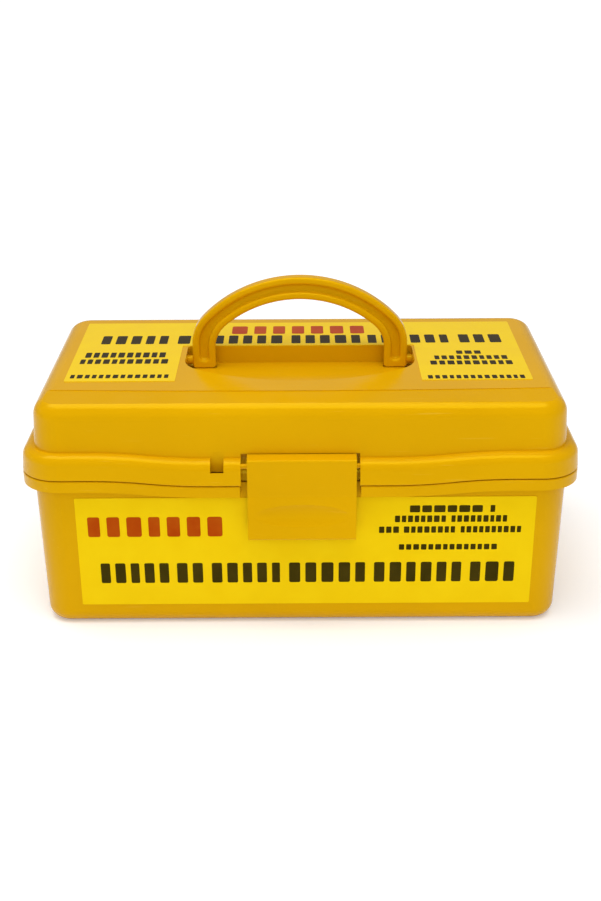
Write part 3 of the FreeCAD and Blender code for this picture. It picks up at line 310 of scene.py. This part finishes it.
# a word is (left, right); all of it is in millimetres on the case
frontPrint = {
    "title": {"low": 57.5, "high": 70.1, "pitch": 10.8, "gap": 3.9, "words": [(-119.9, -44.1)]},
    "lines": [
        {"low": 72.2, "high": 76.6, "pitch": 6.8, "gap": 1.2, "words": [(61.1, 101.9), (106.2, 108.8)]},
        {"low": 66.0, "high": 70.2, "pitch": 3.5, "gap": 1.0, "words": [(52.9, 81.5), (84.6, 115.8)]},
        {"low": 59.2, "high": 63.3, "pitch": 3.4, "gap": 1.0, "words": [(44.1, 55.3), (58.1, 86.9), (90.1, 124.1)]},
        {"low": 48.3, "high": 51.9, "pitch": 3.9, "gap": 1.1, "words": [(55.6, 111.1)]},
    ],
    "heading": {
        "low": 27.4,
        "high": 40.4,
        "pitch": 8.0,
        "gap": 2.9,
        "words": [(-114.3, -75.4), (-70.8, -56.0), (-50.9, -12.0), (-6.8, 36.6), (41.7, 91.5), (96.6, 121.8)],
    },
}

topPrint = {
    "title": {"low": 39.4, "high": 54.3, "pitch": 11.8, "gap": 4.2, "words": [(-42.3, 40.2)]},
    "lines": [
        {"low": -2.6, "high": 6.2, "pitch": 4.6, "gap": 1.4, "words": [(-127.6, -80.0)]},
        {"low": -13.4, "high": -5.6, "pitch": 4.6, "gap": 1.4, "words": [(-129.2, -77.6)]},
        {"low": -37.2, "high": -31.4, "pitch": 3.9, "gap": 1.4, "words": [(-131.2, -75.2)]},
        {"low": 0.8, "high": 6.8, "pitch": 4.2, "gap": 1.4, "words": [(93.4, 108.0)]},
        {"low": -8.4, "high": -1.8, "pitch": 4.4, "gap": 1.4, "words": [(79.6, 122.6)]},
        {"low": -17.4, "high": -10.6, "pitch": 4.6, "gap": 1.4, "words": [(76.4, 124.4)]},
        {"low": -40.4, "high": -34.8, "pitch": 3.9, "gap": 1.4, "words": [(72.9, 128.0)]},
    ],
    "heading": {
        "low": 21.4,
        "high": 36.6,
        "pitch": 8.3,
        "gap": 3.1,
        "words": [(-121.3, -80.8), (-74.6, -57.9), (-52.9, -10.7), (-5.1, 37.1), (41.7, 90.9), (97.7, 123.2)],
    },
}


def addBlock(bm, left, right, low, high, toPoint):
    # a block with rounded corners, its outline set out by toPoint(across, along)
    radius = printFilm["corner"] * min(right - left, high - low)
    steps = printFilm["cornerSteps"]
    centres = [(right - radius, high - radius), (left + radius, high - radius)]
    centres += [(left + radius, low + radius), (right - radius, low + radius)]
    outline = []
    for turn, (cx, cy) in enumerate(centres):
        for step in range(steps + 1):
            angle = (turn + step / steps) * math.pi / 2
            outline.append(bm.verts.new(toPoint(cx + radius * math.cos(angle), cy + radius * math.sin(angle))))
    bm.faces.new(outline)


def addWord(bm, row, left, right, toPoint, chance):
    # blocks of uneven width, as a word looks from too far off to read
    count = max(1, round((right - left) / row["pitch"]))
    shares = [1.0 + chance.uniform(-printFilm["uneven"], printFilm["uneven"]) for block in range(count)]
    room = right - left - row["gap"] * (count - 1)
    for share in shares:
        width = room * share / sum(shares)
        addBlock(bm, left * mm, (left + width) * mm, row["low"] * mm, row["high"] * mm, toPoint)
        left += width + row["gap"]


def makePrint(prefix, rows, toPoint, body):
    chance = random.Random(printFilm["seed"])
    blackRows = rows["lines"] + [rows["heading"]]
    for ink, material, inked in (("BlackPrint", blackInk, blackRows), ("RedPrint", redInk, [rows["title"]])):
        bm = bmesh.new()
        for row in inked:
            for left, right in row["words"]:
                addWord(bm, row, left, right, toPoint, chance)
        piece = meshPiece(prefix + ink, bm, material)
        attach(piece, body)


labelLow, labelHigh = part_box("front_label")
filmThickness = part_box("top_label")[1].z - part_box("top_label")[0].z
wallRise = labelHigh.z - labelLow.z
wallRun = labelLow.y - (labelHigh.y - filmThickness)


def onFrontLabel(across, up):
    # the front sticker leans out with the drafted wall
    y = labelHigh.y - filmThickness + wallRun * (up - labelLow.z) / wallRise
    return Vector((across, y - printFilm["lift"], up))


def onTopLabel(across, along):
    return Vector((across, along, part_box("top_label")[1].z + printFilm["lift"]))


makePrint("front", frontPrint, onFrontLabel, "tub_body")
makePrint("top", topPrint, onTopLabel, "lid_body")
print("label print made")


# absorbent sheet on the tub's floor

sheetSize = {"corner": 7.9, "cells": (112, 56), "pucker": 0.25, "edgeRound": 0.5, "tuftScale": 900.0}


def makeFelt():
    material, tree, shader, place = startMaterial("absorbentFelt", {"Roughness": 0.95, "Sheen Weight": 0.35})
    fibres = noiseValue(tree, stretched(tree, place, (1.0, 0.35, 1.0), (0.0, 0.0, 0.6)), 1400.0, detail=4.0)
    colour = mixedColour(tree, fibres, (0.86, 0.86, 0.83), (0.70, 0.71, 0.69))
    tree.links.new(colour, shader.inputs["Base Color"])
    tufts = noiseValue(tree, place, sheetSize["tuftScale"], detail=3.0)
    quilt = noiseValue(tree, place, 70.0, detail=2.0)
    tree.links.new(bumpNormal(tree, [(quilt, 0.0008), (tufts, 0.0004), (fibres, 0.0003)]), shader.inputs["Normal"])
    return material


def makeSheet():
    low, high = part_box("floor_pad")
    halfX, halfY = (high.x - low.x) / 2, (high.y - low.y) / 2
    columns, rows = sheetSize["cells"]
    corner = sheetSize["corner"] * mm
    bm = bmesh.new()
    bmesh.ops.create_grid(bm, x_segments=columns, y_segments=rows, size=1.0)
    for vert in bm.verts:
        x, y = vert.co.x * halfX, vert.co.y * halfY
        overX, overY = abs(x) - (halfX - corner), abs(y) - (halfY - corner)
        if overX > 0 and overY > 0:  # pull the square corner in to its arc
            reach = math.hypot(overX, overY)
            furthest = corner / max(overX, overY) * reach
            share = corner / furthest
            x = math.copysign(halfX - corner + overX * share, x)
            y = math.copysign(halfY - corner + overY * share, y)
        vert.co = Vector((x, y, 0.0))
    bottom = bm.verts[:]
    edges = [edge for edge in bm.edges if edge.is_boundary]
    extruded = bmesh.ops.extrude_face_region(bm, geom=bm.faces[:])
    thickness = high.z - low.z
    for vert in [item for item in extruded["geom"] if isinstance(item, bmesh.types.BMVert)]:
        pucker = noise.noise(Vector((vert.co.x * 45.0, vert.co.y * 45.0, 0.0)))
        vert.co.z = thickness - sheetSize["pucker"] * mm * (1.2 + pucker)
    for vert in bottom:
        vert.co.z = 0.05 * mm
    bmesh.ops.recalc_face_normals(bm, faces=bm.faces[:])
    bmesh.ops.translate(bm, verts=bm.verts[:], vec=(0.0, 0.0, low.z))
    piece = meshPiece("absorbentSheet", bm, makeFelt(), smooth=True)
    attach(piece, "tub_body")
    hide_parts("floor_pad")
    return piece


makeSheet()
print("absorbent sheet laid")


# rack screws with domed, cross-slotted heads

screwSize = {"dome": 0.55, "slotWidth": 0.8, "slotLength": 3.6, "slotDepth": 1.1, "sides": 32}


def addScrew(bm, x, y, headZ, headTop, shankEnd, headRadius, shankRadius):
    # a lathe profile from the tip of the shank to the crown of the head
    up = 1.0 if headTop > headZ else -1.0
    dome = screwSize["dome"]
    crown = headTop
    profile = [(0.0, shankEnd), (shankRadius * 0.6, shankEnd), (shankRadius, shankEnd + up * shankRadius * 0.7)]
    profile += [(shankRadius, headZ), (headRadius, headZ)]
    rise = abs(headTop - headZ)
    for step in range(9):
        angle = step / 8 * math.pi / 2
        profile.append((headRadius * math.cos(angle), headZ + up * rise * (dome + (1 - dome) * math.sin(angle))))
    profile[-1] = (0.0, crown)
    sides = screwSize["sides"]
    rings = []
    for radius, z in profile:
        if radius == 0.0:
            rings.append([bm.verts.new((x, y, z))])
            continue
        ring = []
        for side in range(sides):
            angle = 2 * math.pi * side / sides
            ring.append(bm.verts.new((x + radius * math.cos(angle), y + radius * math.sin(angle), z)))
        rings.append(ring)
    for low, high in zip(rings, rings[1:]):
        for side in range(sides):
            following = (side + 1) % sides
            corners = [low[side % len(low)], low[following % len(low)], high[following % len(high)], high[side % len(high)]]
            bm.faces.new([vert for index, vert in enumerate(corners) if vert not in corners[:index]])


def cutSlots(piece, places):
    bm = bmesh.new()
    half, width, depth = screwSize["slotLength"] / 2 * mm, screwSize["slotWidth"] / 2 * mm, screwSize["slotDepth"] * mm
    for x, y, crown in places:
        for longX, longY in ((half, width), (width, half)):
            made = bmesh.ops.create_cube(bm, size=2.0)["verts"]
            bmesh.ops.scale(bm, vec=(longX, longY, depth), verts=made)
            bmesh.ops.translate(bm, vec=(x, y, crown), verts=made)
    mesh = bpy.data.meshes.new("slotTool")
    bm.to_mesh(mesh)
    bm.free()
    tool = bpy.data.objects.new("slotTool", mesh)
    scene.collection.objects.link(tool)
    cut = piece.modifiers.new("slots", "BOOLEAN")
    cut.operation = "DIFFERENCE"
    cut.object = tool
    cut.use_self = True
    bpy.context.view_layer.update()
    shape = bpy.data.meshes.new_from_object(piece.evaluated_get(bpy.context.evaluated_depsgraph_get()))
    piece.modifiers.clear()
    piece.data = shape
    bpy.data.objects.remove(tool)


def makeScrews(rack):
    low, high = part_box(f"{rack}_rack_screws")
    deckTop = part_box(f"{rack}_rack_deck")[1].z
    postLow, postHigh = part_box(f"{rack}_rack_posts")
    headHeight = high.z - deckTop
    postRadius = 4.0 * mm
    headRadius, shankRadius, shankLength = 3.5 * mm, 1.5 * mm, 14.0 * mm
    places = []
    bm = bmesh.new()
    for x in (postLow.x + postRadius, postHigh.x - postRadius):
        for y in (postLow.y + postRadius, postHigh.y - postRadius):
            addScrew(bm, x, y, deckTop, high.z, deckTop - shankLength, headRadius, shankRadius)
            seat = low.z + headHeight
            addScrew(bm, x, y, seat, low.z, seat + shankLength, headRadius, shankRadius)
            places += [(x, y, high.z), (x, y, low.z)]
    bmesh.ops.recalc_face_normals(bm, faces=bm.faces[:])
    piece = meshPiece(rack + "RackScrewSet", bm, screwSteel)
    cutSlots(piece, places)
    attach(piece, rack + "_rack")
    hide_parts(f"{rack}_rack_screws")
    return piece


for rack in ("urine", "stool"):
    makeScrews(rack)
print("rack screws made")


# floor, lights and camera

studio = {
    "floorSize": 12.0,
    "floorGrey": (0.94, 0.94, 0.94, 1.0),
    "nearGlow": 0.20,
    "farGlow": 0.54,
    "nearReach": 0.35,
    "farReach": 1.30,
    "skyGlow": 0.55,
    "lowMirrored": 0.30,
    "highMirrored": 0.05,
    "mirrorStep": (20.5, 26.0),
    "keyPower": 11.1,
    "keySize": (1.5, 0.7),
    "keyPlace": (-0.15, -0.25, 1.35),
    "fillPower": 5.6,
    "fillSize": (1.6, 0.9),
    "fillPlace": (0.0, -1.65, 1.05),
}

view = {
    "target": (0.000081, 0.0, 0.075207),
    "azimuth": 0.017,
    "elevation": 23.819,
    "roll": -0.311,
    "distance": 0.81775,
    "lens": 53.24,
    "sensor": 36.0,
}


def makeFloor():
    bm = bmesh.new()
    bmesh.ops.create_grid(bm, x_segments=1, y_segments=1, size=studio["floorSize"] / 2)
    material = bpy.data.materials.new("studioFloor")
    material.use_nodes = True
    tree = material.node_tree
    tree.nodes.clear()
    matt = addNode(tree, "BsdfDiffuse", {"Color": studio["floorGrey"]})
    # the softboxes fade with distance, so the glow that keeps the floor white grows
    place = addNode(tree, "TexCoord").outputs["Object"]
    distance = addNode(tree, "VectorMath", {0: place}, operation="LENGTH").outputs["Value"]
    near, far = studio["nearReach"], studio["farReach"]
    level = remapped(tree, distance, near, far, studio["nearGlow"], studio["farGlow"])
    seen = addNode(tree, "LightPath").outputs["Is Camera Ray"]
    strength = addNode(tree, "Math", {0: seen, 1: level}, operation="MULTIPLY")
    glow = addNode(tree, "Emission", {"Strength": strength.outputs[0]})
    both = addNode(tree, "AddShader", {0: matt.outputs[0], 1: glow.outputs[0]})
    addNode(tree, "OutputMaterial", {"Surface": both.outputs[0]})
    floor = meshPiece("studioFloor", bm, material)


def makeWorld():
    # white where it is seen, dimmer where it lights the case or shows in its gloss
    world = bpy.data.worlds.new("studioWorld")
    scene.world = world
    world.use_nodes = True
    tree = world.node_tree
    tree.nodes.clear()
    path = addNode(tree, "LightPath")
    # gloss shows a pale band low down all round, as a backdrop stands, and little above it
    outward = addNode(tree, "TexCoord").outputs["Generated"]
    height = addNode(tree, "SeparateXYZ", {"Vector": outward}).outputs["Z"]
    low, high = (math.sin(math.radians(angle)) for angle in studio["mirrorStep"])
    band = remapped(tree, height, low, high, studio["lowMirrored"], studio["highMirrored"])
    glossy = {"Value": path.outputs["Is Glossy Ray"], "To Min": studio["skyGlow"], "To Max": band}
    mirrored = addNode(tree, "MapRange", glossy).outputs["Result"]
    seen = addNode(tree, "MapRange", {"Value": path.outputs["Is Camera Ray"], "To Min": mirrored, "To Max": 1.0})
    sky = addNode(
        tree,
        "Background",
        {"Color": (1.0, 1.0, 1.0, 1.0), "Strength": seen.outputs["Result"]},
    )
    addNode(tree, "OutputWorld", {"Surface": sky.outputs[0]})


def addSoftbox(name, power, size, place, target, mirrored=True):
    lamp = bpy.data.lights.new(name, "AREA")
    lamp.shape = "RECTANGLE"
    lamp.size, lamp.size_y = size
    lamp.energy = power
    holder = bpy.data.objects.new(name, lamp)
    scene.collection.objects.link(holder)
    holder.location = place
    holder.rotation_mode = "QUATERNION"
    holder.rotation_quaternion = (Vector(target) - Vector(place)).to_track_quat("-Z", "Y")
    holder.visible_glossy = mirrored


def makeCamera():
    azimuth, elevation = math.radians(view["azimuth"]), math.radians(view["elevation"])
    roll = math.radians(view["roll"])
    flat = math.cos(elevation)
    back = Vector((math.sin(azimuth) * flat, -math.cos(azimuth) * flat, math.sin(elevation)))
    level = Vector((math.cos(azimuth), math.sin(azimuth), 0.0))
    upright = back.cross(level)
    right = math.cos(roll) * level + math.sin(roll) * upright
    up = math.cos(roll) * upright - math.sin(roll) * level
    camera = bpy.data.cameras.new("photoView")
    camera.sensor_width = view["sensor"]
    camera.lens = view["lens"]
    camera.clip_start, camera.clip_end = 0.01, 50.0
    holder = bpy.data.objects.new("photoView", camera)
    scene.collection.objects.link(holder)
    turn = Matrix((right, up, back)).transposed().to_4x4()
    holder.matrix_world = Matrix.Translation(Vector(view["target"]) + back * view["distance"]) @ turn
    scene.camera = holder


makeFloor()
makeWorld()
addSoftbox("keySoftbox", studio["keyPower"], studio["keySize"], studio["keyPlace"], (0.0, 0.0, 0.1))
addSoftbox("fillSoftbox", studio["fillPower"], studio["fillSize"], studio["fillPlace"], (0.0, 0.0, 0.1), False)
makeCamera()
scene.view_settings.view_transform = "Standard"
print("studio made")
